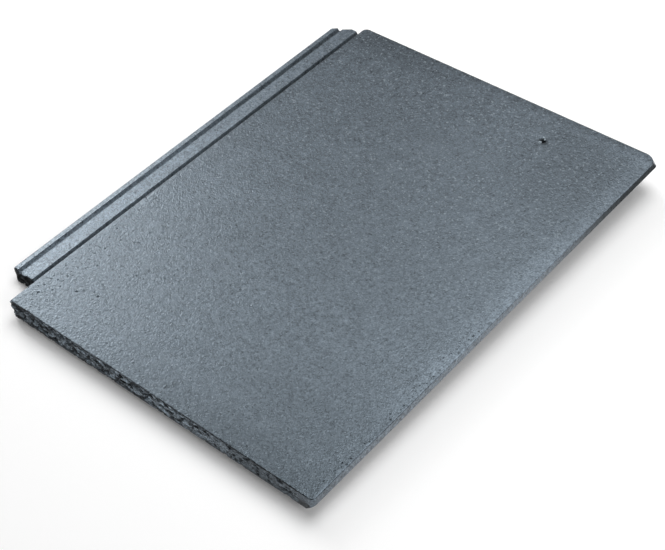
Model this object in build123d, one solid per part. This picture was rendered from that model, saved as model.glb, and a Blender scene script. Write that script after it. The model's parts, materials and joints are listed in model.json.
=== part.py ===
from build123d import *
import math
import os

# Flat interlocking concrete roof tile, in millimetres.
# It is drawn in its laying frame: X runs to the right from the body's left edge,
# Y runs up the slope from the cut tail to the head, and Z stands up from the weathering face.

# Body
length = 420.0
body_width = 302.0
body_thickness = 17.5
arris_radius = 0.8
tail_left_radius = 1.2
tail_right_radius = 4.0
head_left_radius = 5.0
head_right_radius = 4.0
head_right_top_radius = 12.0

# Cut tail: the underside is bevelled, so the leading edge is thinner at its right end
tail_left_height = 17.3
tail_right_height = 13.4
tail_bevel_reach = 26.0
tail_side_bevel = 7.0

# Underlock, the lower tongue beside the left edge. Depths are below the weathering face
underlock_width = 32.0
underlock_setback = 28.0
rib_depth = 7.3
rib_width = 4.8
rib_radius = 1.0
rib_groove_depth = 12.0
rib_groove_width = 3.5
rib_groove_draft = 0.9
platform_depth = 8.8
platform_width = 12.2
channel_depth = 12.0
channel_draft = 1.6
underlock_bottom = 20.4
underlock_foot_radius = 3.0
underlock_nose_radius = 3.0
underlock_keel = 6.0
keel_slope = 7.0
drip_groove_radius = 1.1
drip_groove_inset = 9.5
head_cut_across = 15.0
head_cut_along = 11.0

# Overlock, the rebated flange under the right edge, which covers the next tile's underlock
joint_gap = 2.0
seat_gap = 0.7
side_gap = 1.1
lip_thickness = 7.0
lip_width = 4.0
lock_rib_width = 3.4
lock_rib_depth = 10.3
tail_stop_gap = 1.0

# Hanging nibs, which hook over the batten
nib_centres = (68.0, 216.0)
nib_width = 36.0
nib_length = 16.0
nib_depth = 12.0
nib_draft = 1.2
nib_root_to_head = 8.0
nib_corner_radius = 3.0

# Weather bars across the underside, near the tail
bar_count = 2
bar_first = 42.0
bar_spacing = 24.0
bar_height = 3.5
bar_width = 8.0
bar_top_width = 4.0
bar_end_inset = 16.0
bar_end_radius = 1.5

# Nail hole
nail_radius = 2.4
nail_from_right = 86.0
nail_from_head = 36.0


def section_face(points, y):
    """Closed face from (x, z) points, standing across the tile at y."""
    plane = Plane(origin=(0, y, 0), x_dir=(1, 0, 0), z_dir=(0, -1, 0))
    return plane * make_face(Polyline(*points, close=True))


def run_up_slope(face, distance):
    """Extrude a section towards the head."""
    return extrude(face, amount=distance, dir=(0, 1, 0))


def nearest(vertices, x, y):
    """The vertex that stands nearest to a plan point."""
    return min(vertices, key=lambda v: math.hypot(v.X - x, v.Y - y))


def head_corner_waste(radius, z):
    """What lies outside the head's right corner at one level, when it is rounded to a radius."""
    inner_x = body_width - radius
    inner_y = length - radius
    outer_x = body_width + arris_radius
    outer_y = length + arris_radius
    reach = radius * math.sqrt(0.5)
    arc = ThreePointArc((inner_x, length), (inner_x + reach, inner_y + reach), (body_width, inner_y))
    sides = Polyline(
        (body_width, inner_y),
        (outer_x, inner_y),
        (outer_x, outer_y),
        (inner_x, outer_y),
        (inner_x, length),
    )
    return Pos(0, 0, z) * make_face([arc, sides])


def head_corner_ease():
    """Cone that eases the head's right corner more at the top than at the foot of the lip."""
    widening = (head_right_top_radius - head_right_radius) / lip_thickness
    above = head_corner_waste(head_right_top_radius + widening * arris_radius, arris_radius)
    below = head_corner_waste(head_right_radius, -lip_thickness)
    return loft([above, below], ruled=True)


def body_slab():
    """Plan outline with its rounded corners, at the body's thickness, with its top edges eased."""
    corners = ((0, 0), (body_width, 0), (body_width, length), (0, length))
    radii = (tail_left_radius, tail_right_radius, head_right_radius, head_left_radius)
    plan = make_face(Polyline(*corners, close=True))
    for corner, radius in zip(corners, radii):
        plan = fillet(nearest(plan.vertices(), *corner), radius)
    slab = extrude(plan, amount=-body_thickness) - head_corner_ease()
    top = slab.faces().sort_by(Axis.Z)[-1]
    return fillet(top.edges(), arris_radius)


def underlock_crown():
    """Upper line of the underlock, (x, z) from its outer edge to the body."""
    rib_inner = -underlock_width + rib_width
    platform_left = rib_inner + rib_groove_width
    platform_right = platform_left + platform_width
    return (
        (-underlock_width, -rib_depth),
        (rib_inner, -rib_depth),
        (rib_inner + rib_groove_draft, -rib_groove_depth),
        (platform_left - rib_groove_draft, -rib_groove_depth),
        (platform_left, -platform_depth),
        (platform_right, -platform_depth),
        (platform_right + channel_draft, -channel_depth),
    )


def underlock_nose():
    """Waste outside the rounded outer corner at the tongue's lower end."""
    corner = (-underlock_width, underlock_setback)
    block = Box(
        2 * underlock_nose_radius,
        2 * underlock_nose_radius,
        4 * underlock_bottom,
    )
    post = Cylinder(underlock_nose_radius, 4 * underlock_bottom)
    centre = Pos(corner[0] + underlock_nose_radius, corner[1] + underlock_nose_radius, 0)
    return Pos(*corner, 0) * block - centre * post


def underlock():
    """Tongue with its outer rib, platform and water channel, and the keel under the body."""
    points = underlock_crown() + (
        (underlock_keel, -channel_depth),
        (underlock_keel + keel_slope, -body_thickness),
        (underlock_keel, -underlock_bottom),
        (-underlock_width, -underlock_bottom),
    )
    face = section_face(points, underlock_setback)
    outer_corners = face.vertices().sort_by(Axis.X)[:2].sort_by(Axis.Z)
    face = fillet(outer_corners[0], underlock_foot_radius)
    outer_top = face.vertices().filter_by(lambda v: abs(v.Z + rib_depth) < 0.01).sort_by(Axis.X)[0]
    face = fillet(outer_top, rib_radius)
    tongue = run_up_slope(face, length - underlock_setback)
    groove_x = drip_groove_inset - underlock_width
    groove = Pos(groove_x, underlock_setback, -underlock_bottom) * Rot(X=-90) * Cylinder(
        drip_groove_radius,
        length - underlock_setback,
        align=(Align.CENTER, Align.CENTER, Align.MIN),
    )
    corner = Polyline(
        (-underlock_width, length - head_cut_along),
        (-underlock_width, length),
        (-underlock_width + head_cut_across, length),
        close=True,
    )
    crop = extrude(make_face(corner), amount=-2 * underlock_bottom)
    return tongue - groove - crop - underlock_nose()


def overlock_rebate():
    """Space under the right edge: the next underlock's crown with its clearances, open below."""
    pitch = body_width + joint_gap
    crown = underlock_crown()
    platform_left = crown[4][0] + pitch
    platform_right = crown[5][0] + pitch
    rib_left = crown[0][0] + pitch
    rib_right = crown[1][0] + pitch
    roof_over_rib = -rib_depth + seat_gap
    roof_over_platform = -platform_depth + seat_gap
    lock_right = body_width - lip_width
    lock_left = lock_right - lock_rib_width
    floor = -underlock_bottom
    points = (
        (rib_left - side_gap, floor),
        (rib_left - side_gap, roof_over_rib),
        (rib_right + side_gap, roof_over_rib),
        (platform_left + side_gap, roof_over_platform),
        (platform_right - side_gap, roof_over_platform),
        (lock_left, -lock_rib_depth),
        (lock_right, -lock_rib_depth),
        (lock_right + lip_width / 4, -lip_thickness),
        (body_width, -lip_thickness),
        (body_width + joint_gap, -lip_thickness),
        (body_width + joint_gap, floor),
    )
    start = underlock_setback - tail_stop_gap
    return run_up_slope(section_face(points, start), length)


def tail_bevel():
    """Wedge that thins the leading edge from below, more at the right than at the left."""
    deep = -underlock_bottom
    left = Polyline(
        (0, -tail_left_height),
        (tail_bevel_reach, -body_thickness),
        (tail_bevel_reach, deep),
        (0, deep),
        close=True,
    )
    right = Polyline(
        (0, -tail_right_height),
        (tail_bevel_reach, -body_thickness),
        (tail_bevel_reach, deep),
        (0, deep),
        close=True,
    )
    left_face = Plane(origin=(0, 0, 0), x_dir=(0, 1, 0), z_dir=(1, 0, 0)) * make_face(left)
    right_face = Plane(origin=(body_width, 0, 0), x_dir=(0, 1, 0), z_dir=(1, 0, 0)) * make_face(right)
    return loft([left_face, right_face], ruled=True)


def tail_side_cut():
    """Bevel under the right end of the leading edge, up to the lip."""
    points = (
        (body_width - tail_side_bevel, -tail_right_height),
        (body_width, -lip_thickness),
        (body_width, -underlock_bottom),
        (body_width - tail_side_bevel, -underlock_bottom),
    )
    return run_up_slope(section_face(points, 0), underlock_setback)


def nibs():
    """Drafted blocks near the head, with an upright face towards the batten."""
    solids = []
    for x in nib_centres:
        y = length - nib_root_to_head - nib_length / 2
        foot = RectangleRounded(nib_width, nib_length, nib_corner_radius)
        block = extrude(foot, amount=-nib_depth, taper=math.degrees(math.atan(nib_draft / nib_depth)))
        solids.append(Pos(x, y, -body_thickness) * block)
    return solids


def weather_bars():
    """Low bars across the underside, between the underlock's keel and the overlock rebate."""
    left = underlock_keel + keel_slope + bar_end_inset
    right = body_width + joint_gap - underlock_width - side_gap - bar_end_inset
    run = right - left
    side_taper = math.degrees(math.atan((bar_width - bar_top_width) / 2 / bar_height))
    bars = []
    for index in range(bar_count):
        y = bar_first + index * bar_spacing
        foot = RectangleRounded(run, bar_width, bar_end_radius)
        bar = extrude(foot, amount=-bar_height, taper=side_taper)
        bars.append(Pos((left + right) / 2, y, -body_thickness) * bar)
    return bars


def nail_hole():
    """Round hole through the body, beside the batten face of the right nib."""
    place = Pos(body_width - nail_from_right, length - nail_from_head, 0)
    return place * Cylinder(nail_radius, 3 * body_thickness)


def laid_down(tile):
    """Stand the tile on its nibs and its first weather bar, centred over the origin."""
    nib_y = length - nib_root_to_head - nib_length + nib_draft
    bar_y = bar_first - bar_top_width / 2
    rest_tilt = math.degrees(math.atan((nib_depth - bar_height) / (nib_y - bar_y)))
    tile = Rot(X=rest_tilt) * tile
    box = tile.bounding_box()
    return Pos(-box.center().X, -box.center().Y, -box.min.Z) * tile


def roof_tile():
    tile = body_slab() + underlock()
    tile -= tail_bevel()
    tile -= tail_side_cut()
    tile -= overlock_rebate()
    for piece in nibs() + weather_bars():
        tile += piece
    tile -= nail_hole()
    return laid_down(tile)


os.makedirs("parts", exist_ok=True)
export_step(roof_tile(), "parts/roof_tile.step")
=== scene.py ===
import bisect
import json
import math
import random

import bmesh
import bpy
from mathutils import Matrix, Vector, noise


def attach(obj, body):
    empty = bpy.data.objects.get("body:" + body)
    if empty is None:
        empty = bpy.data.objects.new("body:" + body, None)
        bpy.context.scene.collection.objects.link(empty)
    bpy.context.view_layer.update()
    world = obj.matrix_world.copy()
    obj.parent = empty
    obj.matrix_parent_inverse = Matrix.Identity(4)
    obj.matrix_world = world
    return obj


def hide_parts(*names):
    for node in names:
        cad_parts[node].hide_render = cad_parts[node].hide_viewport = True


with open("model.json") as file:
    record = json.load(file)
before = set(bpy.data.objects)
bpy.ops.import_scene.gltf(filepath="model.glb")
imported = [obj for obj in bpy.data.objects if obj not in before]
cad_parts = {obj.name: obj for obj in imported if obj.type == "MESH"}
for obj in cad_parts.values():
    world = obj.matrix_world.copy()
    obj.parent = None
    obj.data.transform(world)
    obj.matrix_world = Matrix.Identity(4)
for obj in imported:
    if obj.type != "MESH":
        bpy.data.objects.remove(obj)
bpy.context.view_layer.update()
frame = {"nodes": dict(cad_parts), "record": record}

mm = 0.001


# Laying frame: x runs across from the body's left edge, y up the slope from the cut tail,
# z stands up from the coated face. Sizes below are in millimetres in that frame.
tileSizes = {
    "length": 420.0,
    "bodyWidth": 302.0,
    "underlockWidth": 32.0,
    "underlockSetback": 28.0,
    "underlockBottom": 20.4,
    "tailHeight": 17.3,
    "tailThinning": 3.9,
    "ribDepth": 7.3,
    "ribWidth": 4.8,
    "grooveWidth": 3.5,
    "platformDepth": 8.8,
    "channelDepth": 12.0,
    "lipThickness": 7.0,
    "nailSpot": (216.0, 384.0, -8.75),
    "nailRadius": 2.4,
}


# From the laying frame to the stored one, read off the nail hole's mount
def layingMatrix():
    nail = next(m for m in frame["record"]["mounts"] if m["name"] == "nail_hole")
    up = Vector(nail["axis"]).normalized()
    across = Vector((1, 0, 0))
    slope = up.cross(across)
    turn = Matrix((across, slope, up)).transposed()
    origin = Vector(nail["pos_m"]) - turn @ (Vector(tileSizes["nailSpot"]) * mm)
    return Matrix.Translation(origin) @ turn.to_4x4() @ Matrix.Scale(mm, 4)


toWorld = layingMatrix()
toLaying = toWorld.inverted()


# A socket that adds its own Math node when it meets an operator
class Wire:
    def __init__(self, sheet, socket):
        self.sheet = sheet
        self.socket = socket

    def _maths(self, operation, first, second):
        values = {0: first, 1: second}
        return self.sheet.node("ShaderNodeMath", {"operation": operation}, values)[0]

    def __add__(self, other):
        return self._maths("ADD", self, other)

    def __radd__(self, other):
        return self._maths("ADD", other, self)

    def __sub__(self, other):
        return self._maths("SUBTRACT", self, other)

    def __rsub__(self, other):
        return self._maths("SUBTRACT", other, self)

    def __mul__(self, other):
        return self._maths("MULTIPLY", self, other)

    def __rmul__(self, other):
        return self._maths("MULTIPLY", other, self)


# What a made node gives out, by socket name or number
class Outputs:
    def __init__(self, sheet, made):
        self.sheet = sheet
        self.made = made

    def __getitem__(self, key):
        return Wire(self.sheet, self.made.outputs[key])


# A node tree, and the one method that makes any node: its type, its settings, its sockets
class Sheet:
    def __init__(self, tree):
        self.tree = tree
        tree.nodes.clear()

    def node(self, kind, settings=None, values=None):
        made = self.tree.nodes.new(kind)
        for name, value in (settings or {}).items():
            setattr(made, name, value)
        for key, value in (values or {}).items():
            if isinstance(value, Wire):
                self.tree.links.new(value.socket, made.inputs[key])
            else:
                made.inputs[key].default_value = value
        return Outputs(self, made)

    def place(self):
        return self.node("ShaderNodeTexCoord")["Object"]

    def mark(self, name):  # a value kept on the mesh's points
        return self.node("ShaderNodeAttribute", {"attribute_name": name})["Fac"]

    def vector(self, operation, first, second):
        values = {0: first, 1: second}
        return self.node("ShaderNodeVectorMath", {"operation": operation}, values)[0]

    def grain(self, place, size, detail=2.0, roughness=0.5, shift=0.0):
        moved = self.vector("ADD", place, (shift, shift, shift))  # to its own part of the noise
        values = {
            "Vector": moved,
            "Scale": 1.0 / (size * mm),
            "Detail": detail,
            "Roughness": roughness,
        }
        return self.node("ShaderNodeTexNoise", {}, values)["Fac"]

    def dots(self, place, spacing):  # how far the nearest of many uneven points is
        values = {"Vector": place, "Scale": 1.0 / (spacing * mm)}
        return self.node("ShaderNodeTexVoronoi", {}, values)["Distance"]

    def atLeast(self, value, low):
        return self.node("ShaderNodeMath", {"operation": "MAXIMUM"}, {0: value, 1: low})[0]

    def step(self, value, low, high):
        settings = {"interpolation_type": "SMOOTHSTEP"}
        values = {"Value": value, "From Min": low, "From Max": high}
        return self.node("ShaderNodeMapRange", settings, values)["Result"]

    def blend(self, factor, first, second):
        values = {0: factor, 6: first, 7: second}
        return self.node("ShaderNodeMix", {"data_type": "RGBA"}, values)[2]

    def mixed(self, factor, first, second):  # two shaders
        return self.node("ShaderNodeMixShader", {}, {0: factor, 1: first, 2: second})["Shader"]

    def scaled(self, colour, amount):
        values = {0: colour, 3: amount}
        return self.node("ShaderNodeVectorMath", {"operation": "SCALE"}, values)[0]

    def bump(self, height, depth):
        values = {"Height": height, "Distance": depth * mm, "Strength": 1.0}
        return self.node("ShaderNodeBump", {}, values)["Normal"]

    def draw(self, kind, low, high, seed):  # a random vector's sockets come before a number's
        first = 0 if kind == "FLOAT_VECTOR" else 2
        values = {first: low, first + 1: high, 8: seed}
        return self.node("FunctionNodeRandomValue", {"data_type": kind}, values)[first // 2]


def shown(name, data):
    thing = bpy.data.objects.new(name, data)
    bpy.context.scene.collection.objects.link(thing)
    return thing


def shaderSheet(name):
    material = bpy.data.materials.new(name)
    material.use_nodes = True
    return material, Sheet(material.node_tree)


def principled(sheet, values):
    return sheet.node("ShaderNodeBsdfPrincipled", {}, values)["BSDF"]


def surface(material, sheet, shader):
    sheet.node("ShaderNodeOutputMaterial", {}, {"Surface": shader})
    return material


# Slate-grey coat on every face that the weather meets
coatLook = {
    "colour": (0.0662, 0.080, 0.0945),
    "contrast": 0.95,
    "fleckedCalm": 0.32,  # what a flecked stretch takes off the contrast
    "darkest": 0.1,
    "sheen": (0.692, 0.86, 1.0, 1.0),
    "reflection": 0.92,
    "roughness": 0.2,
    "mottleRoughness": 0.06,
    "hollowRoughness": 0.5,
    "poreRoughness": 0.4,
    # A dull, darker coat that paints shade where it is mixed in: its colour, roughness and
    # reflection
    "paintedShade": (0.036, 0.043, 0.049),
    "soilRoughness": 0.85,
    "soilReflection": 0.2,
    "fleck": (0.165, 0.192, 0.214, 1.0),
    "fleckSize": 2.1,
    "fleckReach": (0.61, 0.72),
    # near-black painted shade for pores and hollows
    "hole": (0.012, 0.014, 0.016, 1.0),
    "fineSize": 1.4,
    "fineShare": 3.0,
    "midSize": 3.4,
    "midShare": 2.4,
    "mottleSize": 13.0,
    "mottleShare": 0.95,
    "mottlePlain": 0.5,  # mottling away from the flecks
    "mottleFlecked": 0.8,  # what the flecks add to it
    "cloudSize": 110.0,
    "cloudShare": 0.35,
    "reliefSize": 1.15,
    "rippleSize": 3.0,
    "rippleShare": 0.75,
    "reliefDepth": 0.27,
    "poreSpacing": 2.3,
    "poreReach": (0.22, 0.1),
    "poreShare": 0.6,
    "poreDip": 0.6,
}


def coatMaterial():
    material, sheet = shaderSheet("slate_coat")
    place = sheet.place()
    fine = sheet.grain(place, coatLook["fineSize"], 1.0, 0.5)
    mid = sheet.grain(place, coatLook["midSize"], 2.0, 0.55, 3.1)
    mottle = sheet.grain(place, coatLook["mottleSize"], 3.0, 0.55, 5.3)
    cloud = sheet.grain(place, coatLook["cloudSize"], 1.0, 0.5, 7.7)
    flecked, hollow = sheet.mark("flecks"), sheet.mark("hollow")
    tone = (fine - 0.5) * coatLook["fineShare"] + (mid - 0.5) * coatLook["midShare"]
    mottled = (mottle - 0.5) * (coatLook["mottlePlain"] + coatLook["mottleFlecked"] * flecked)
    tone = tone + mottled * coatLook["mottleShare"] + (cloud - 0.5) * coatLook["cloudShare"]
    contrast = coatLook["contrast"] - coatLook["fleckedCalm"] * flecked
    tone = sheet.atLeast(1.0 + tone * contrast, coatLook["darkest"])
    # The colour is scaled by a mark of paleness, which paints sheen, highlights and shade over the
    # coat as well as its tone
    colour = sheet.scaled(coatLook["colour"], tone * sheet.mark("paintedLightAndTone"))
    spots = sheet.grain(place, coatLook["fleckSize"], 1.0, 0.5, 11.9)
    fleck = sheet.step(spots, *coatLook["fleckReach"]) * flecked
    colour = sheet.blend(fleck, colour, coatLook["fleck"])
    # Pores and hollows are painted near-black as shade
    pore = sheet.step(sheet.dots(place, coatLook["poreSpacing"]), *coatLook["poreReach"])
    pore = pore * sheet.mark("pores")
    colour = sheet.blend(pore * coatLook["poreShare"], colour, coatLook["hole"])
    colour = sheet.blend(hollow, colour, coatLook["hole"])
    ripple = sheet.grain(place, coatLook["rippleSize"], 1.0, 0.5, 6.1)
    relief = sheet.grain(place, coatLook["reliefSize"], 1.0, 0.5, 2.3)
    relief = relief + coatLook["rippleShare"] * ripple - pore * coatLook["poreDip"]
    rough = coatLook["roughness"] + (mottle - 0.5) * coatLook["mottleRoughness"]
    rough = rough + hollow * coatLook["hollowRoughness"] + pore * coatLook["poreRoughness"]
    uneven = sheet.bump(relief, coatLook["reliefDepth"])
    values = {
        "Base Color": colour,
        "Roughness": rough,
        "Specular IOR Level": coatLook["reflection"],
        "Specular Tint": coatLook["sheen"],
        "Normal": uneven,
    }
    glossy = principled(sheet, values)
    # The dull, darker coat, mixed in by a mark, paints shade in the channels, on the side towards
    # the head and in the nail hole's crater
    values = {
        "Base Color": sheet.scaled(coatLook["paintedShade"], tone),
        "Roughness": coatLook["soilRoughness"],
        "Specular IOR Level": coatLook["soilReflection"],
        "Normal": uneven,
    }
    dull = principled(sheet, values)
    return surface(material, sheet, sheet.mixed(sheet.mark("paintedShade"), glossy, dull))


# Raw concrete where the tile was cut from the run: drawn-out matrix, pale sand, open hollows and
# pores painted near-black as shade
cutLook = {
    "stone": (0.066, 0.080, 0.093),
    "darkest": 0.08,
    "roughness": 0.7,
    "streak": (0.55, 1.0, 1.15),
    "grainSize": 1.5,
    "grainShare": 5.5,
    "patchSize": 4.2,
    "patchShare": 5.5,
    "sand": (0.25, 0.30, 0.345, 1.0),
    "sandSize": 1.4,
    "sandReach": (0.62, 0.74),
    "sandShare": 0.6,
    "sandHeight": 0.5,
    "pore": (0.004, 0.005, 0.006, 1.0),
    "poreSize": 1.7,
    "poreReach": (0.38, 0.28),
    "poreShare": 0.7,
    "relief": 0.6,
}


def cutMaterial():
    material, sheet = shaderSheet("cut_concrete")
    drawn = sheet.vector("MULTIPLY", sheet.place(), cutLook["streak"])
    fine = sheet.grain(drawn, cutLook["grainSize"], 2.0, 0.6)
    patch = sheet.grain(drawn, cutLook["patchSize"], 2.0, 0.55, 4.1)
    patchy = (patch - 0.5) * sheet.mark("pores")  # calmer towards the right end
    tone = 1.0 + (fine - 0.5) * cutLook["grainShare"] + patchy * cutLook["patchShare"]
    tone = sheet.atLeast(tone, cutLook["darkest"])
    # The colour is scaled by a mark of paleness, which sets the stone's tone and paints shade at
    # the cut's left end
    colour = sheet.scaled(cutLook["stone"], tone * sheet.mark("paintedLightAndTone"))
    spots = sheet.grain(drawn, cutLook["sandSize"], 1.0, 0.5, 9.7)
    sand = sheet.step(spots, *cutLook["sandReach"])
    colour = sheet.blend(sand * cutLook["sandShare"], colour, cutLook["sand"])
    spots = sheet.grain(drawn, cutLook["poreSize"], 1.0, 0.5, 13.1)
    pore = sheet.step(spots, *cutLook["poreReach"])
    colour = sheet.blend(pore * cutLook["poreShare"], colour, cutLook["pore"])
    colour = sheet.blend(sheet.mark("hollow"), colour, cutLook["pore"])
    values = {
        "Base Color": colour,
        "Roughness": cutLook["roughness"],
        "Normal": sheet.bump(fine + sand * cutLook["sandHeight"] - pore, cutLook["relief"]),
    }
    return surface(material, sheet, principled(sheet, values))


# Sand grains that stand out of the cut, and the paler crumbs beside the nail hole
sandLook = {
    "dark": (0.055, 0.067, 0.078, 1.0),
    "light": (0.19, 0.23, 0.265, 1.0),
    "crumb": (0.3, 0.36, 0.405, 1.0),
    "roughness": 0.7,
    "kindSize": 2.2,
    "kindReach": (0.38, 0.66),
    "reliefSize": 0.4,
    "relief": 0.08,
}


def sandMaterial():
    material, sheet = shaderSheet("sand_grain")
    place = sheet.place()
    kind = sheet.step(sheet.grain(place, sandLook["kindSize"], 1.0, 0.5), *sandLook["kindReach"])
    colour = sheet.blend(kind, sandLook["dark"], sandLook["light"])
    colour = sheet.blend(sheet.mark("crumb"), colour, sandLook["crumb"])
    values = {
        "Base Color": colour,
        "Roughness": sandLook["roughness"],
        "Normal": sheet.bump(sheet.grain(place, sandLook["reliefSize"]), sandLook["relief"]),
    }
    return surface(material, sheet, principled(sheet, values))


# Underside as it left the pallet: matt, a little lighter, with fine air holes painted dark as shade
mouldLook = {
    "low": (0.058, 0.066, 0.073, 1.0),
    "high": (0.115, 0.128, 0.139, 1.0),
    "fineSize": 1.2,
    "cloudSize": 40.0,
    "toneReach": (0.38, 0.62),
    "hole": (0.012, 0.013, 0.015, 1.0),
    "holeSpacing": 6.0,
    "holeReach": (0.13, 0.06),
    "roughness": 0.8,
    "relief": 0.25,
}


def mouldMaterial():
    material, sheet = shaderSheet("moulded_concrete")
    place = sheet.place()
    fine = sheet.grain(place, mouldLook["fineSize"], 3.0, 0.6)
    cloud = sheet.grain(place, mouldLook["cloudSize"], 3.0, 0.55, 2.9)
    hole = sheet.step(sheet.dots(place, mouldLook["holeSpacing"]), *mouldLook["holeReach"])
    tone = sheet.step(0.5 * fine + 0.5 * cloud, *mouldLook["toneReach"])
    colour = sheet.blend(tone, mouldLook["low"], mouldLook["high"])
    colour = sheet.blend(hole, colour, mouldLook["hole"])
    values = {
        "Base Color": colour,
        "Roughness": mouldLook["roughness"],
        "Normal": sheet.bump(fine - hole, mouldLook["relief"]),
    }
    return surface(material, sheet, principled(sheet, values))


# Mesh cells, in millimetres: wide inside the flat faces, fine where the tile is cut, worn or pitted
cells = {
    "flat": 10.0,
    "arris": 3.0,
    "arrisBand": 3.0,
    "groove": 0.5,
    "cut": 0.7,
    "cutBand": 2.2,
    "head": 1.4,
    "headBand": 13.0,
    "nail": 0.55,
    "nailBand": 7.0,
    "pit": 0.32,
    "snap": 0.0001,
    "sliver": 0.001,
    "doubles": 0.002,
    "level": math.radians(0.4),  # faces that meet at less than this are one flat
    "facing": 0.5,  # a cosine
    "past": 1.0,  # how far a cut goes past the edge of a part
    "tongueBand": (0.2, 1.4),
    "slack": 0.1,  # what eases a limit, so that what lies on it counts
    "hair": 0.01,
}
# Heights that a cut goes up or down to, so that it takes in the whole of a part
levels = {"top": 1, "lip": -8, "channel": -13, "body": -19, "underlock": -21, "nail": -2}


def places(low, high, step):
    count = max(1, round((high - low) / step))
    return [low + (high - low) * i / count for i in range(count + 1)]


# Cuts the whole mesh through at even places along an axis
def sliceThrough(work, axis, low, high, step):
    normal = Vector([1.0 if i == axis else 0.0 for i in range(3)])
    for place in places(low, high, step)[1:-1]:
        geometry = work.verts[:] + work.edges[:] + work.faces[:]
        bmesh.ops.bisect_plane(
            work, geom=geometry, dist=cells["snap"], plane_co=normal * place, plane_no=normal
        )


# Splits one convex face at a place along an axis; its neighbours take up the new points
def splitFace(face, axis, place):
    snap = cells["snap"]
    for edge in list(face.edges):
        first, second = edge.verts
        before, after = first.co[axis] - place, second.co[axis] - place
        if before * after < 0 and min(abs(before), abs(after)) > snap:
            bmesh.utils.edge_split(edge, first, before / (before - after))
    crossing = [vertex for vertex in face.verts if abs(vertex.co[axis] - place) <= snap]
    if len(crossing) != 2:
        return [face]
    try:
        return [face, bmesh.utils.face_split(face, *crossing)[0]]
    except ValueError:
        return [face]


def sliceFace(face, axis, cuts):
    snap = cells["snap"]
    reach = [vertex.co[axis] for vertex in face.verts]
    first = bisect.bisect_right(cuts, min(reach) + snap)
    last = bisect.bisect_left(cuts, max(reach) - snap)
    if first >= last:
        return [face]
    middle = (first + last) // 2
    pieces = splitFace(face, axis, cuts[middle])
    if len(pieces) == 1:
        return pieces
    rest = cuts[first:middle] + cuts[middle + 1:last]
    return [part for piece in pieces for part in sliceFace(piece, axis, rest)]


def sliceBox(faces, low, high, step, axes=(0, 1, 2)):
    for axis in axes:
        cuts = places(low[axis], high[axis], step)
        faces = [part for face in faces for part in sliceFace(face, axis, cuts)]
    return faces


# Cuts up the faces whose middles lie in a box, and which face a given way if there is one
def sliceWhere(work, low, high, step, facing=None, axes=(0, 1, 2)):
    found = []
    for face in work.faces:
        middle = face.calc_center_median()
        near = all(low[i] <= middle[i] <= high[i] for i in range(3))
        if near and (facing is None or face.normal.dot(facing) > cells["facing"]):
            found.append(face)
    sliceBox(found, low, high, step, axes)


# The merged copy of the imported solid, in the laying frame
def layingCopy():
    work = bmesh.new()
    work.from_mesh(frame["nodes"]["roof_tile"].data)
    bmesh.ops.remove_doubles(work, verts=work.verts, dist=cells["doubles"] * mm)
    bmesh.ops.transform(work, matrix=toLaying, verts=work.verts)
    level = cells["level"]
    bmesh.ops.dissolve_limit(work, angle_limit=level, verts=work.verts, edges=work.edges)
    return work


def refine(work):
    length, width = tileSizes["length"], tileSizes["bodyWidth"]
    left, setback = -tileSizes["underlockWidth"], tileSizes["underlockSetback"]
    top, body, underlock = levels["top"], levels["body"], levels["underlock"]
    sliceThrough(work, 0, left, width, cells["flat"])
    sliceThrough(work, 1, 0.0, length, cells["flat"])
    bmesh.ops.connect_verts_concave(work, faces=work.faces[:])
    work.normal_update()
    print("flat cells", len(work.faces))
    band, step, past = cells["arrisBand"], cells["arris"], cells["past"]
    floor = -tileSizes["channelDepth"] - cells["slack"]
    low = (left + tileSizes["ribWidth"], setback - past, floor)
    high = (low[0] + tileSizes["grooveWidth"], length + past, 0)
    sliceWhere(work, low, high, cells["groove"], axes=(0,))
    strips = (
        ((left - past, setback - past, levels["channel"]), (band, length + past, top)),
        ((-past, -past, body), (band, setback + past, top)),
        ((width - band, -past, levels["lip"]), (width + past, length + past, top)),
        ((-past, -past, body), (width + past, 2 * band, top)),
    )
    for low, high in strips:
        sliceWhere(work, low, high, step)
    low = (left - past, length - cells["headBand"], underlock)
    high = (width + past, length + past, top)
    sliceWhere(work, low, high, cells["head"], Vector((0, 1, 0)))
    print("edge cells", len(work.faces))
    band, step = cells["cutBand"], cells["cut"]
    sliceWhere(work, (-past, -past, body), (width + past, band, top), step)
    before, behind = cells["tongueBand"]
    low, high = (left - past, setback - before, underlock), (past, setback + behind, top)
    sliceWhere(work, low, high, step)
    (x, y, z), band = tileSizes["nailSpot"], cells["nailBand"]
    low, high = (x - band, y - band, levels["nail"]), (x + band, y + band, top)
    sliceWhere(work, low, high, cells["nail"])
    work.normal_update()
    print("cut cells", len(work.faces))


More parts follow.
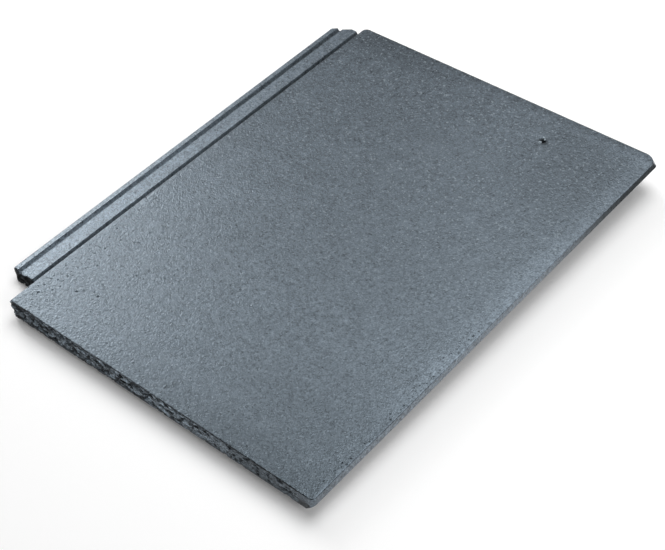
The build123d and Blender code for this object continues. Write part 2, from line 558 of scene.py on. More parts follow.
# Wear: how the cast and cut concrete leaves its ideal faces, in millimetres and in shares of them.
# A pair is the stretch over which something comes on
wear = {
    "bodyFrom": -0.5,  # what lies left of this is the underlock
    "recess": 0.2,
    "grit": 0.45,
    "grain": 1.6,
    "fineGrit": 0.6,
    "cutFade": 0.3,
    "smoothEnd": 13.0,
    "hollow": 1.7,
    "hollowGrain": 2.8,
    "hollowEdge": 0.1,
    "streak": 0.55,
    "bare": 0.08,  # the higher, the fewer hollows
    "browBare": 0.2,
    "browStart": (0.6, 1.6),
    "browEnd": (4.5, 9.0),
    "rightBare": 0.26,
    "rightStart": (130, 230),
    "leftBare": 0.16,
    "leftEnd": (15, 60),
    "footStart": (4.5, 1.0),
    "footCalm": 0.7,
    "cornerDepth": 0.35,
    "cornerReach": 4.0,
    "arris": 0.15,
    "arrisMean": 0.5,
    "arrisUneven": 1.6,
    "arrisFine": 0.7,
    "arrisGrain": 3.6,
    "arrisEnd": (0.5, 1.7),
    "bulge": 2.3,
    "bulgeMean": 0.8,
    "bulgeUneven": 0.25,
    "bulgeGrain": 2.6,
    "bulgeReach": 3.0,
    "bulgeTop": 0.5,
    "bulgeStart": (0.4, 3.0),
    "bulgeEnd": (8.0, 14.0),
    "tongueFade": (0.2, 1.4),
    "tongueHollow": 0.85,
    "headBand": 0.9,
    "head": 0.12,
    "headMean": 0.8,
    "headUneven": 1.2,
    "headGrain": 2.4,
    "ribLean": 0.4,
    "ribLeanDepth": 0.7,
    "grooveFall": 1.5,
    "grooveSag": 2.6,
    "grooveRound": 0.8,
    # Hollows and chips are painted dark as shade: how dark the deepest hollow and a chip are
    "dark": 0.9,  # how dark the deepest hollow is
    "chipHollow": 0.55,
    "chipGrain": 1.1,
    "chipUneven": 0.28,
    "chips": (
        ((16.5, -0.8, 0.7), 1.9),
        ((20.5, -0.8, 0.8), 2.1),
        ((25.0, -0.9, 0.8), 2.1),
        ((30.5, -0.9, 0.8), 1.8),
        ((3.0, -0.8, 0.8), 1.6),
        ((74.0, -0.9, 0.9), 1.8),
        ((143.0, -0.8, 0.8), 1.6),
        ((188.0, -1.0, 1.0), 1.9),
        ((262.0, -1.0, 0.9), 1.8),
        ((-14.0, 27.0, -8.2), 2.6),
        ((-17.5, 27.4, -8.4), 1.8),
        ((-26.5, 27.0, -7.0), 1.9),
    ),
}
seeds = {
    "arris": 11,
    "tail": 21,
    "bulge": 31,
    "tongue": 41,
    "head": 51,
    "chip": 61,
    "pit": 71,
    "rim": 81,
    "crumb": 91,
}


# Smooth noise from -1 to 1, at a grain in millimetres; each seed looks at a place of its own
def swell(place, grain, seed):
    return noise.noise(place / grain + Vector((seed * 7.31, seed * 3.17, seed * 5.93)))


# From 0 at low to 1 at high, also where high is the smaller of the two
def ease(value, low, high):
    share = min(1.0, max(0.0, (value - low) / (high - low)))
    return share * share * (3 - 2 * share)


# How deep a point of a cut face lies, and how much of that is an open hollow, which is painted dark
# as shade
def cutDepth(place, seed):
    grit = swell(place, wear["grain"], seed)
    grit += wear["fineGrit"] * swell(place, wear["grain"] / 2, seed + 1)
    drawn = Vector((place.x * wear["streak"], place.y, place.z))
    brow = ease(-place.z, *wear["browStart"]) * (1.0 - ease(-place.z, *wear["browEnd"]))
    bare = wear["bare"] - wear["browBare"] * brow  # most open just below the arris
    bare += wear["rightBare"] * ease(place.x, *wear["rightStart"])
    bare -= wear["leftBare"] * (1.0 - ease(place.x, *wear["leftEnd"]))
    field = swell(drawn, wear["hollowGrain"], seed + 2)
    hollow = ease(field, bare, bare + wear["hollowEdge"])
    return max(0.0, wear["recess"] + wear["grit"] * grit + wear["hollow"] * hollow), hollow


# From 0 on the tail's cut to 1 at its foot, which lies higher towards the right
def footShare(place):
    foot = tileSizes["tailHeight"] - tileSizes["tailThinning"] * place.x / tileSizes["bodyWidth"]
    high, low = wear["footStart"]
    return ease(-place.z, foot - high, foot - low)


# The body's cut front: ragged below its arris, calmer at its foot, bulged at its left end
def wearTail(place, shift):
    width, band = tileSizes["bodyWidth"], cells["cutBand"]
    near = 1.0 - ease(place.y, wear["cutFade"], band)
    near *= 1.0 - ease(place.x, width - 2 * wear["smoothEnd"], width - wear["smoothEnd"])
    line = Vector((place.x, 0, 0))
    ragged = swell(line, wear["arrisGrain"], seeds["arris"])
    ragged += wear["arrisFine"] * swell(line, wear["arrisGrain"] / 3, seeds["arris"] + 1)
    edge = max(0.0, wear["arris"] * (wear["arrisMean"] + wear["arrisUneven"] * ragged))
    below = ease(-place.z, *wear["arrisEnd"])
    foot = 1.0 - wear["footCalm"] * footShare(place)
    depth, hollow = cutDepth(place, seeds["tail"])
    corner = wear["cornerDepth"]
    depth *= corner + (1.0 - corner) * ease(place.x, 0.0, wear["cornerReach"])
    shift.y += near * ((1.0 - below) * edge + below * foot * depth)
    if place.x < wear["bulgeReach"] and place.z < -wear["bulgeTop"]:
        low = ease(-place.z, *wear["bulgeStart"]) * (1.0 - ease(-place.z, *wear["bulgeEnd"]))
        lump = swell(place, wear["bulgeGrain"], seeds["bulge"])
        lump = wear["bulgeMean"] + wear["bulgeUneven"] * lump
        beside = 1.0 - ease(place.x, 0.0, wear["bulgeReach"])
        shift.x -= wear["bulge"] * low * lump * beside * near
    return hollow * near * below * (0.5 + 0.5 * foot)


# The underlock's cut front, which is open all over and painted nearly black as shade
def wearTongue(place, shift):
    start, end = wear["tongueFade"]
    setback = tileSizes["underlockSetback"]
    near = 1.0 - ease(place.y, setback + start, setback + end)
    depth, hollow = cutDepth(place, seeds["tongue"])
    shift.y += near * depth
    return near * (wear["tongueHollow"] + (1.0 - wear["tongueHollow"]) * hollow)


# The rib leans out a little, and the groove behind it slumped before the concrete set
def wearRib(place, shift):
    top, inner = -tileSizes["ribDepth"], tileSizes["ribWidth"] - tileSizes["underlockWidth"]
    if place.x < inner + cells["hair"] and place.z > top - wear["ribLeanDepth"]:
        shift.z -= wear["ribLean"] * min(1.0, (inner - place.x) / tileSizes["ribWidth"])
    share = (place.x - inner) / tileSizes["grooveWidth"]
    if 0.0 < share < 1.0 and place.z > -tileSizes["channelDepth"] - cells["hair"]:
        brow = top - wear["grooveFall"] * share
        sag = wear["grooveSag"] * math.sin(math.pi * share) ** wear["grooveRound"]
        shift.z = brow - sag - place.z


def wornShift(place):
    shift, hollow = Vector((0, 0, 0)), 0.0
    onBody = place.x > wear["bodyFrom"]
    behind = place.y - tileSizes["underlockSetback"]
    if onBody and place.y < cells["cutBand"]:
        hollow = wearTail(place, shift)
    if not onBody and -cells["slack"] < behind < wear["tongueFade"][1]:
        hollow = wearTongue(place, shift)
    if onBody and place.y > tileSizes["length"] - wear["headBand"]:
        rough = swell(place, wear["headGrain"], seeds["head"])
        shift.y -= wear["head"] * max(0.0, wear["headMean"] + wear["headUneven"] * rough)
    wearRib(place, shift)
    return shift, hollow


# A point inside a chip goes out to the chip's own uneven ball
def chipped(place):
    for centre, radius in wear["chips"]:
        centre = Vector(centre)
        away = place - centre
        uneven = wear["chipUneven"] * swell(place, wear["chipGrain"], seeds["chip"])
        rough = radius * (1.0 + uneven)
        if away.length < rough:
            return centre + away.normalized() * rough
    return place


def makeWear(work, hollows):
    touched = 0
    for vertex in work.verts:
        place = vertex.co.copy()
        shift, hollow = wornShift(place)
        moved = place + shift
        broken = chipped(moved)
        if (broken - moved).length > 0:
            broken.z = min(broken.z, place.z)
            broken.y = max(broken.y, place.y)
            touched += 1
            moved = broken
            hollow = max(hollow, wear["chipHollow"])
        vertex.co = moved
        vertex[hollows] = max(vertex[hollows], wear["dark"] * hollow)
    print("chipped points", touched)


# How much painted shade each part gets and how pale it is, mostly by painted light: before and
# after a stretch up the tile, and that stretch
shades = {
    # The side is painted lit near the tail and painted into shade towards the head
    "side": {"paintedShade": (0.1, 1.0, (235, 385)), "paintedLightAndTone": (1.8, 2.6, (0, 60))},
    # Channel, groove and platform get a painted sheen near the tail; channel and groove get painted
    # shade further up
    "channel": {"paintedShade": (0.35, 0.7, (150, 350)), "paintedLightAndTone": (2.0, 1.4, (200, 400))},
    "groove": {"paintedShade": (0.1, 0.6, (180, 360)), "paintedLightAndTone": (2.0, 1.4, (200, 400))},
    "platform": {"paintedLightAndTone": (2.0, 1.4, (200, 400))},
    # The rib top gets a painted highlight, with a little painted shade near the tail
    "rib": {"paintedShade": (0.1, 0.0, (120, 300)), "paintedLightAndTone": (1.8, 1.5, (300, 420))},
    # The right arris gets a painted highlight, and the head arris is darker
    "rubbedArris": {"paintedLightAndTone": (1.0, 2.4, (40, 200))},
    "headArris": {"paintedLightAndTone": (0.6, 0.6, (0, 420))},
}
# The same across the tile, for its cut front, which is painted into shade at its left end and is
# darker towards its right end and its foot; and then for the flecks and pores
cutShades = {
    "paintedShade": 0.4,
    "paintedLightAndTone": 4.2,
    "left": (0.76, 1.0, (15, 90)),
    "right": (1.0, 0.54, (190, 250)),
    "foot": (0.76, 0.46, (60, 200)),
    "pores": (1.0, 0.25, (150, 240)),
}
fleckShades = {"fewest": 0.35, "up": (90, 280), "right": (1.0, 0.7, (190, 290))}
poreShades = {
    "tail": (1.0, 0.3, (60, 190)),
    "slant": 0.5,  # how far askew the tail's stretch lies
    "right": 0.9,
    "across": (292, 298),
    "up": (230, 180),
}
partEdges = {
    "corner": 4.2,  # how far the side's look goes round the front corner
    "side": 0.9,
    "sideTop": -0.5,
    "body": -0.1,
    "channel": -13.0,
    "rib": -27.0,
    "channelTop": 0.2,  # these two below the platform
    "grooveTop": 0.1,
    "cut": 0.9,
    "arris": 0.85,
}
# Paler and darker stretches of the top, mostly painted sheen and painted shade, across the tile and
# up it. A falling pair ends one
stretches = (
    {"paintedLightAndTone": 0.6, "across": (282, 300), "up": (60, 140)},
    {"paintedLightAndTone": -0.3, "across": (70, 160), "up": (34, 3)},
    {"paintedLightAndTone": -0.45, "across": (140, 280), "up": (120, 30)},
    {"paintedLightAndTone": -0.3, "across": (190, 250), "up": (280, 350), "end": (415, 400)},
    {"paintedLightAndTone": 0.15, "across": (200, 290), "up": (380, 415)},
    {"paintedLightAndTone": -0.35, "across": (130, 60), "up": (380, 415)},
)


def ramp(value, shade):
    before, after, stretch = shade
    return before + (after - before) * ease(value, *stretch)


def partAt(x, y, z):
    length, width = tileSizes["length"], tileSizes["bodyWidth"]
    platform = -tileSizes["platformDepth"]
    roundCorner = x > width - partEdges["corner"] and y < partEdges["corner"]
    if z < partEdges["sideTop"] and (x > width - partEdges["side"] or roundCorner):
        return "side"
    if x < partEdges["body"]:
        if x > partEdges["channel"] and z < platform - partEdges["channelTop"]:
            return "channel"
        if x < partEdges["rib"]:
            return "rib"
        return "groove" if z < platform - partEdges["grooveTop"] else "platform"
    if y < partEdges["cut"] and z < -partEdges["arris"]:
        return "cut"
    if x > width - partEdges["arris"]:
        return "rubbedArris"
    if z > -partEdges["arris"]:
        return "headArris" if y > length - partEdges["arris"] else "top"
    return "below"


def topLift(x, y):
    paintedLightAndTone = 1.0
    for stretch in stretches:
        change = stretch["paintedLightAndTone"] * ease(x, *stretch["across"]) * ease(y, *stretch["up"])
        paintedLightAndTone += change * (ease(y, *stretch["end"]) if "end" in stretch else 1.0)
    return paintedLightAndTone


def cutLift(place):
    paintedLightAndTone = cutShades["paintedLightAndTone"] * ramp(place.x, cutShades["left"]) * ramp(place.x, cutShades["right"])
    return paintedLightAndTone * (1.0 - ramp(place.x, cutShades["foot"]) * footShare(place))


def flecksAt(x, y):
    fewest = fleckShades["fewest"]
    more = ease(y, *fleckShades["up"]) * ramp(x, fleckShades["right"])
    return fewest + (1.0 - fewest) * more


def poresAt(x, y, z):
    if y < partEdges["cut"] and z < -partEdges["arris"]:
        return ramp(x, cutShades["pores"])
    right = poreShades["right"] * ease(x, *poreShades["across"]) * ease(y, *poreShades["up"])
    return max(right, ramp(x + poreShades["slant"] * y, poreShades["tail"]))


# Painted shade, paleness that is mostly painted light, flecks and pores of the surface, kept on the
# points
def makeMarks(work, marks):
    for vertex in work.verts:
        x, y, z = vertex.co
        part = partAt(x, y, z)
        paintedShade, paintedLightAndTone = 0.0, 1.0
        if part == "cut":
            paintedShade, paintedLightAndTone = cutShades["paintedShade"], cutLift(vertex.co)
        elif part == "top":
            paintedLightAndTone = topLift(x, y)
        elif part in shades:
            paintedLightAndTone = ramp(y, shades[part]["paintedLightAndTone"])
            paintedShade = ramp(y, shades[part]["paintedShade"]) if "paintedShade" in shades[part] else 0.0
        vertex[marks["paintedShade"]] = paintedShade
        vertex[marks["paintedLightAndTone"]] = paintedLightAndTone
        vertex[marks["flecks"]] = flecksAt(x, y)
        vertex[marks["pores"]] = poresAt(x, y, z)


# Air holes in the coat: those that show one by one, then two groups that are scattered.
# A place in a group is from + reach * draw ** bias, for x and for y
pits = {
    "spots": (
        (51, 43, 0.95),
        (34, 37, 0.85),
        (11, 19, 1.0),
        (13, 37, 0.75),
        (20, 33, 0.7),
        (15, 49, 0.6),
        (26, 79, 0.6),
        (9, 27, 0.65),
        (88, 61, 0.55),
        (45, 54, 0.6),
        (18, 27, 0.6),
        (38, 41, 0.5),
        (278, 389, 0.7),
        (294, 150, 0.65),
        (297, 17, 0.6),
    ),
    "byTail": {
        "count": 60,
        "from": (4, 5),
        "reach": (90, 120),
        "bias": (1.4, 1.2),
        "apart": 3.4,
        "radius": (0.4, 0.28),
    },
    "byRight": {
        "count": 26,
        "from": (300.3, 8),
        "reach": (-5, 190),
        "bias": (2, 1),
        "apart": 3.0,
        "radius": (0.42, 0.3),
    },
    "facing": 0.95,  # a cosine: the pits are in the level face only
    "lowest": -0.5,
    "tries": 4000,
    "reach": (1.35, 1.5),  # shares of the radius and of a pit cell that are cut up finely
    "deep": 0.9,
    "hollow": 0.75,
    "grain": 0.8,
    "uneven": 0.3,
    "seed": 7,
}


def scatter(spots, draw, group):
    (startX, startY), (reachX, reachY) = group["from"], group["reach"]
    biasX, biasY = group["bias"]
    smallest, spread = group["radius"]
    wanted = len(spots) + group["count"]
    for attempt in range(pits["tries"]):
        if len(spots) == wanted:
            break
        x = startX + reachX * draw.random() ** biasX
        y = startY + reachY * draw.random() ** biasY
        if all(math.hypot(x - a, y - b) > group["apart"] for a, b, r in spots):
            spots.append((x, y, smallest + spread * draw.random()))


def makePits(work, hollows):
    spots = list(pits["spots"])
    draw = random.Random(pits["seed"])
    scatter(spots, draw, pits["byTail"])
    scatter(spots, draw, pits["byRight"])
    square = 2 * cells["flat"]
    shelf = {}  # the top's faces by the square that they lie in

    def keep(face):
        middle = face.calc_center_median()
        shelf.setdefault((middle.x // square, middle.y // square), {})[face] = True

    def facesAt(x, y, around):
        here = []
        column, row = int(x // square), int(y // square)
        for spot in [(column + i, row + j) for i in (-1, 0, 1) for j in (-1, 0, 1)]:
            for face in list(shelf.get(spot, ())):
                xs = [vertex.co.x for vertex in face.verts]
                ys = [vertex.co.y for vertex in face.verts]
                inX = min(xs) < x + around and max(xs) > x - around
                if inX and min(ys) < y + around and max(ys) > y - around:
                    here.append(face)
                    del shelf[spot][face]
        return here

    for face in work.faces:
        level = face.normal.z > pits["facing"]
        if level and face.calc_center_median().z > pits["lowest"]:
            keep(face)
    wide, margin = pits["reach"]
    for x, y, radius in spots:
        around = wide * radius + margin * cells["pit"]
        low, high = (x - around, y - around, -1), (x + around, y + around, 1)
        made = sliceBox(facesAt(x, y, around), low, high, cells["pit"])
        for face in made:
            keep(face)
        for vertex in dict.fromkeys(v for face in made for v in face.verts):
            away = math.hypot(vertex.co.x - x, vertex.co.y - y)
            uneven = pits["uneven"] * swell(vertex.co, pits["grain"], seeds["pit"])
            edge = radius * (1.0 + uneven)
            if away < edge:
                sunk = (1.0 - (away / edge) ** 2) ** 0.5
                vertex.co.z -= pits["deep"] * radius * sunk
                # the pit is painted dark as shade
                vertex[hollows] = pits["hollow"] * sunk
    print("pits", len(spots))


# Crumbled rim of the nail hole: a crater, as a pin leaves it. The bore is painted dark as shade,
# and the crater gets the dull, darker coat of painted shade
rim = {
    "reach": 5.4,
    "depth": 2.0,
    "dish": 0.7,
    "dishMean": 0.35,
    "dishGrain": 1.3,
    # how much painted shade the crater gets, near the hole
    "bare": 0.95,
    "bore": 0.9,
    "boreTop": 0.8,
    "hollows": (
        ((-2.6, 1.6, 0.2), 1.9),
        ((-1.6, -2.2, 0.3), 1.5),
        ((2.2, 2.2, 0.4), 1.5),
    ),
}


def makeRim(work, hollows, paintedShade):
    x, y, z = tileSizes["nailSpot"]
    for vertex in work.verts:
        co = vertex.co
        away = math.hypot(co.x - x, co.y - y)
        if away < tileSizes["nailRadius"] + cells["slack"] and co.z < -rim["boreTop"]:
            vertex[hollows] = rim["bore"]
        if co.z > -rim["depth"] and away < rim["reach"]:
            near = 1.0 - ease(away, tileSizes["nailRadius"], rim["reach"])
            vertex[paintedShade] = max(vertex[paintedShade], rim["bare"] * near)
            uneven = swell(co, rim["dishGrain"], seeds["rim"])
            co.z -= near * rim["dish"] * max(0.0, rim["dishMean"] + uneven)
            for (dx, dy, dz), radius in rim["hollows"]:
                centre = Vector((x + dx, y + dy, dz))
                gap = co - centre
                if gap.length < radius:
                    co.z = min(co.z, (centre + gap.normalized() * radius).z)


# Which finish a face has, from where it lies on the ideal tile
coated, cut, moulded = range(3)
finishLimits = {
    "tailFacing": 0.8,
    "tongueFacing": 0.75,
    "headFacing": 0.6,
    "downFacing": 0.2,
    "arris": 0.3,
    "front": 1.0,
    "belowChannel": 0.2,
    "bodyHead": 1.0,
    "tongueHead": 13.0,
    "rebate": 260.0,
    "lipRim": 3.5,
    "crease": math.radians(32),
    "broken": 1.12,  # a chip's raw face, as a share of its radius
    "brokenReach": 3.5,
}  # the facings are cosines


def finishOf(face):
    middle, normal = face.calc_center_median(), face.normal
    length, width = tileSizes["length"], tileSizes["bodyWidth"]
    onBody = middle.x >= 0.0
    belowArris = middle.z < -finishLimits["arris"]
    front = finishLimits["front"]
    atTail = middle.y < front and middle.x < width - wear["smoothEnd"]
    if normal.y < -finishLimits["tailFacing"] and atTail and belowArris:
        return cut
    atTongue = not onBody and middle.y < tileSizes["underlockSetback"] + front
    if normal.y < -finishLimits["tongueFacing"] and atTongue:
        return cut
    atHead = middle.y > length - finishLimits["bodyHead" if onBody else "tongueHead"]
    if normal.y > finishLimits["headFacing"] and atHead and belowArris:
        return cut
    belowChannel = middle.z < -tileSizes["channelDepth"] - finishLimits["belowChannel"]
    if normal.z < -finishLimits["downFacing"] or belowChannel:
        return moulded
    inRebate = finishLimits["rebate"] < middle.x < width - finishLimits["lipRim"]
    return moulded if inRebate and middle.z < -tileSizes["lipThickness"] else coated


def makeTile(materials):
    work = layingCopy()
    refine(work)
    hollows = work.verts.layers.float.new("hollow")
    names = ("paintedShade", "paintedLightAndTone", "flecks", "pores")
    marks = {name: work.verts.layers.float.new(name) for name in names}
    for face in work.faces:
        face.material_index = finishOf(face)
        face.smooth = True
    makePits(work, hollows)
    makeMarks(work, marks)
    work.normal_update()
    for edge in work.edges:
        if len(edge.link_faces) == 2:
            first, second = edge.link_faces
            creased = edge.calc_face_angle(0.0) > finishLimits["crease"]
            edge.smooth = not creased and first.material_index == second.material_index
    makeWear(work, hollows)
    makeRim(work, hollows, marks["paintedShade"])
    bmesh.ops.dissolve_degenerate(work, dist=cells["sliver"], edges=work.edges[:])
    for face in work.faces:  # what broke away shows raw concrete
        middle = face.calc_center_median()
        if face.material_index == coated and middle.y < finishLimits["brokenReach"]:
            gaps = [(middle - Vector(spot)).length / radius for spot, radius in wear["chips"]]
            if min(gaps) < finishLimits["broken"]:
                face.material_index = cut
    bmesh.ops.transform(work, matrix=toWorld, verts=work.verts)
    work.normal_update()
    mesh = bpy.data.meshes.new("coated_tile")
    work.to_mesh(mesh)
    work.free()
    for material in materials:
        mesh.materials.append(material)
    triangles = sum(len(polygon.vertices) - 2 for polygon in mesh.polygons)
    print("tile", len(mesh.polygons), "faces", triangles, "triangles")
    return shown("coated_tile", mesh)


# Sand grains on the cut faces, set out by Geometry Nodes and then joined into one mesh
grit = {
    "spacing": 1.9,
    "smallest": 0.3,
    "largest": 0.75,
    "squat": ((0.7, 0.7, 0.55), (1.2, 1.2, 0.9)),
    "uneven": 0.3,
    "unevenScale": 1400.0,
    "mostPerArea": 1.0e6,
    "seed": 5,
    "proud": 0.05,
    "crumbs": (
        ((214.9, 381.4, -0.45), 1.55),
        ((216.3, 386.8, -0.5), 1.0),
        ((214.3, 388.3, -0.4), 1.15),
    ),
    "crumbHeight": 0.7,
    "crumbUneven": 0.5,
    "crumbGrain": 1.1,
    "crumbLumps": 2.0,  # the higher, the more lumps on each
}


def gritTree(material):
    tree = bpy.data.node_groups.new("face_grit", "GeometryNodeTree")
    sheet = Sheet(tree)
    tree.interface.new_socket(name="Geometry", in_out="INPUT", socket_type="NodeSocketGeometry")
    for name in ("Spacing", "Smallest", "Largest", "Uneven"):
        tree.interface.new_socket(name=name, in_out="INPUT", socket_type="NodeSocketFloat")
    tree.interface.new_socket(name="Seed", in_out="INPUT", socket_type="NodeSocketInt")
    tree.interface.new_socket(name="Geometry", in_out="OUTPUT", socket_type="NodeSocketGeometry")
    given = sheet.node("NodeGroupInput")
    settings = {"distribute_method": "POISSON"}
    values = {
        "Mesh": given["Geometry"],
        "Distance Min": given["Spacing"],
        "Density Max": grit["mostPerArea"],
        "Seed": given["Seed"],
    }
    spots = sheet.node("GeometryNodeDistributePointsOnFaces", settings, values)
    ball = sheet.node("GeometryNodeMeshIcoSphere", {}, {"Radius": 1.0, "Subdivisions": 1})["Mesh"]
    turn = sheet.draw("FLOAT_VECTOR", (0.0, 0.0, 0.0), (math.tau,) * 3, given["Seed"])
    squat = sheet.draw("FLOAT_VECTOR", *grit["squat"], given["Seed"] + 1.0)
    size = sheet.draw("FLOAT", given["Smallest"], given["Largest"], given["Seed"] + 2.0)
    scale = sheet.scaled(squat, size)
    values = {"Points": spots["Points"], "Instance": ball, "Rotation": turn, "Scale": scale}
    grains = sheet.node("GeometryNodeInstanceOnPoints", {}, values)["Instances"]
    joined = sheet.node("GeometryNodeRealizeInstances", {}, {"Geometry": grains})["Geometry"]
    where = sheet.node("GeometryNodeInputPosition")["Position"]
    values = {"Vector": where, "Scale": grit["unevenScale"], "Detail": 1.0}
    bumps = sheet.node("ShaderNodeTexNoise", {}, values)["Color"]
    centred = sheet.vector("SUBTRACT", bumps, (0.5, 0.5, 0.5))
    values = {"Geometry": joined, "Offset": sheet.scaled(centred, given["Uneven"] * mm)}
    rough = sheet.node("GeometryNodeSetPosition", {}, values)["Geometry"]
    values = {"Geometry": rough, "Material": material}
    dressed = sheet.node("GeometryNodeSetMaterial", {}, values)["Geometry"]
    sheet.node("NodeGroupOutput", {}, {"Geometry": dressed})
    return tree


# The tail's cut alone, as a bed for the grains
def cutBed(tile):
    bed = bmesh.new()
    bed.from_mesh(tile.data)
    right = tileSizes["bodyWidth"] - 2 * wear["smoothEnd"]
    away = []
    for face in bed.faces:
        middle = toLaying @ face.calc_center_median()
        onTail = middle.y < tileSizes["underlockSetback"] / 2 and middle.x < right
        if face.material_index != cut or not onTail:
            away.append(face)
    bmesh.ops.delete(bed, geom=away, context="FACES")
    mesh = bpy.data.meshes.new("grit_bed")
    bed.to_mesh(mesh)
    bed.free()
    return shown("grit_bed", mesh)


def spreadGrains(tile, material):
    holder = cutBed(tile)
    tree = gritTree(material)
    modifier = holder.modifiers.new("grit", "NODES")
    modifier.node_group = tree
    given = {
        "Spacing": grit["spacing"] * mm,
        "Smallest": grit["smallest"] * mm,
        "Largest": grit["largest"] * mm,
        "Uneven": grit["uneven"],
        "Seed": grit["seed"],
    }
    for item in tree.interface.items_tree:
        if item.in_out == "INPUT" and item.name in given:
            modifier[item.identifier] = given[item.name]
    depsgraph = bpy.context.evaluated_depsgraph_get()
    mesh = bpy.data.meshes.new_from_object(holder.evaluated_get(depsgraph))
    mesh.name = "face_grit"
    bpy.data.objects.remove(holder)
    return mesh


def addCrumbs(work):
    pale = work.verts.layers.float.new("crumb")
    for spot, radius in grit["crumbs"]:
        made = bmesh.ops.create_icosphere(work, subdivisions=2, radius=radius)
        for vertex in made["verts"]:
            lump = vertex.co * grit["crumbLumps"] + Vector(spot)
            uneven = swell(lump, grit["crumbGrain"], seeds["crumb"])
            vertex[pale] = 1.0
            vertex.co *= 1.0 + grit["crumbUneven"] * uneven
            vertex.co.z *= grit["crumbHeight"]
            vertex.co += Vector(spot)


def makeGrit(tile, material):
    mesh = spreadGrains(tile, material)
    work = bmesh.new()
    work.from_mesh(mesh)
    bmesh.ops.transform(work, matrix=toLaying, verts=work.verts)
    addCrumbs(work)
    proud = grit["proud"]  # the grains stay this far inside the tile's own box
    for vertex in work.verts:
        co = vertex.co
        if co.y < tileSizes["length"] / 2:
            front = 0.0 if co.x > wear["bodyFrom"] else tileSizes["underlockSetback"]
            co.x = max(co.x, -tileSizes["underlockWidth"] + proud)
            co.y = max(co.y, front + proud)
            co.z = max(co.z, -tileSizes["underlockBottom"] + proud)
    bmesh.ops.transform(work, matrix=toWorld, verts=work.verts)
    work.normal_update()
    for face in work.faces:
        face.material_index = 0
    mesh.materials.clear()
    work.to_mesh(mesh)
    work.free()
    mesh.materials.append(material)
    print("grit", len(mesh.polygons), "faces")
    return shown("face_grit", mesh)


# Floor, light and camera
studio = {
    "floorShade": 0.86,
    "floorHalf": 12.0,
    "glowNear": (0.13, 0.13, 0.13, 1.0),
    "glowFar": (1.0, 1.0, 1.0, 1.0),
    "glowReach": (0.7, 2.2),
    "worldShade": (0.9, 0.9, 0.9, 1.0),
    "worldStrength": 0.02,
    "distance": 1500.0,
    "aim": (150.0, 200.0, 0.0),
}
lamps = {
    "overhead": {"azimuth": 60, "elevation": 78, "size": 1200, "power": 14.4},
    "left": {"azimuth": 160, "elevation": 42, "size": 900, "power": 3.4},
    "leftLow": {"azimuth": 165, "elevation": 28, "size": 600, "power": 6.3},
    "leftSmall": {"azimuth": 165, "elevation": 44, "size": 450, "power": 0.75},
    "back": {"azimuth": 120, "elevation": 42, "size": 900, "power": 1.3},
    "backSmall": {"azimuth": 110, "elevation": 46, "size": 500, "power": 0.84},
    "backHigh": {"azimuth": 100, "elevation": 65, "size": 900, "power": 3.8},
    "rightFill": {"azimuth": -12, "elevation": 34, "size": 900, "power": 6.4},
}
viewpoint = {
    "place": (725.68, -395.69, 788.24),
    "aim": (177.84, 165.65, 0.0),
    "roll": -5.428,
    "lens": 80.476,
    "sensor": 36.0,
}


def makeFloor():
    material, sheet = shaderSheet("pale_floor")
    shade, half = studio["floorShade"], studio["floorHalf"]
    values = {"Color": (shade, shade, shade, 1.0)}
    matt = sheet.node("ShaderNodeBsdfDiffuse", {}, values)["BSDF"]
    settings = {"operation": "LENGTH"}
    away = sheet.node("ShaderNodeVectorMath", settings, {0: sheet.place()})["Value"]
    far = sheet.step(away, *studio["glowReach"])
    values = {"Color": sheet.blend(far, studio["glowNear"], studio["glowFar"]), "Strength": 1.0}
    glow = sheet.node("ShaderNodeEmission", {}, values)["Emission"]
    both = sheet.node("ShaderNodeAddShader", {}, {0: matt, 1: glow})["Shader"]
    seen = sheet.node("ShaderNodeLightPath")["Is Camera Ray"]
    mesh = bpy.data.meshes.new("floor")
    corners = [(-half, -half, 0), (half, -half, 0), (half, half, 0), (-half, half, 0)]
    mesh.from_pydata(corners, [], [(0, 1, 2, 3)])
    mesh.materials.append(surface(material, sheet, sheet.mixed(seen, matt, both)))
    floor = shown("floor", mesh)


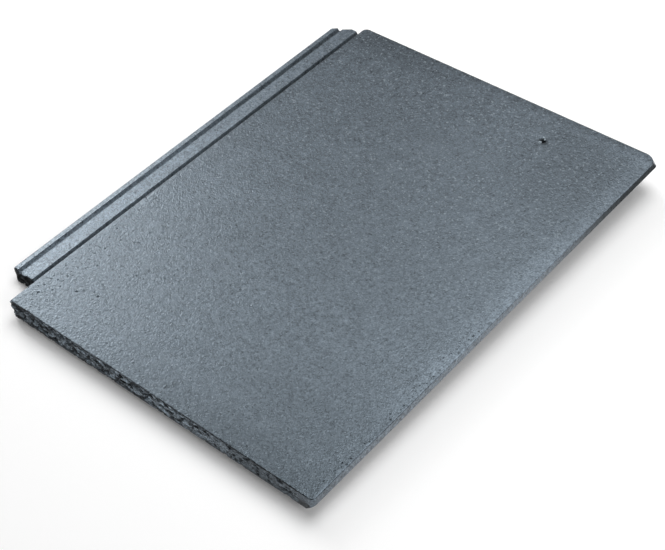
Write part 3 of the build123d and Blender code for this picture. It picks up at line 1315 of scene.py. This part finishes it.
def makeWorld():
    world = bpy.data.worlds.new("studio")
    world.use_nodes = True
    sheet = Sheet(world.node_tree)
    values = {"Color": studio["worldShade"], "Strength": studio["worldStrength"]}
    dim = sheet.node("ShaderNodeBackground", {}, values)["Background"]
    values = {"Color": studio["glowFar"], "Strength": 1.0}
    white = sheet.node("ShaderNodeBackground", {}, values)["Background"]
    seen = sheet.node("ShaderNodeLightPath")["Is Camera Ray"]
    both = sheet.mixed(seen, dim, white)
    sheet.node("ShaderNodeOutputWorld", {}, {"Surface": both})
    bpy.context.scene.world = world


def makeLamps():
    target = Vector(studio["aim"])
    for name, lamp in lamps.items():
        azimuth, elevation = math.radians(lamp["azimuth"]), math.radians(lamp["elevation"])
        level = math.cos(elevation)
        east, north = level * math.cos(azimuth), level * math.sin(azimuth)
        away = Vector((east, north, math.sin(elevation)))
        data = bpy.data.lights.new(name, "AREA")
        data.shape = "SQUARE"
        data.size = lamp["size"] * mm
        data.energy = lamp["power"]
        light = shown(name, data)
        light.location = toWorld @ (target + away * studio["distance"])
        light.rotation_mode = "QUATERNION"
        facing = light.location - toWorld @ target
        light.rotation_quaternion = facing.to_track_quat("Z", "Y")


def makeCamera():
    place = Vector(viewpoint["place"])
    forward = (Vector(viewpoint["aim"]) - place).normalized()
    level = forward.cross(Vector((0, 0, 1))).normalized()
    raised = level.cross(forward)
    roll = math.radians(viewpoint["roll"])
    right = math.cos(roll) * level + math.sin(roll) * raised
    up = right.cross(forward)
    turn = toWorld.to_3x3().normalized() @ Matrix((right, up, -forward)).transposed()
    data = bpy.data.cameras.new("viewpoint")
    data.lens = viewpoint["lens"]
    data.sensor_width = viewpoint["sensor"]
    camera = shown("viewpoint", data)
    camera.matrix_world = Matrix.Translation(toWorld @ place) @ turn.to_4x4()
    bpy.context.scene.camera = camera


tile = makeTile([coatMaterial(), cutMaterial(), mouldMaterial()])
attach(tile, "root")
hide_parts("roof_tile")
sand = makeGrit(tile, sandMaterial())
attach(sand, "root")
makeFloor()
makeWorld()
makeLamps()
makeCamera()
bpy.context.scene.view_settings.view_transform = "Standard"
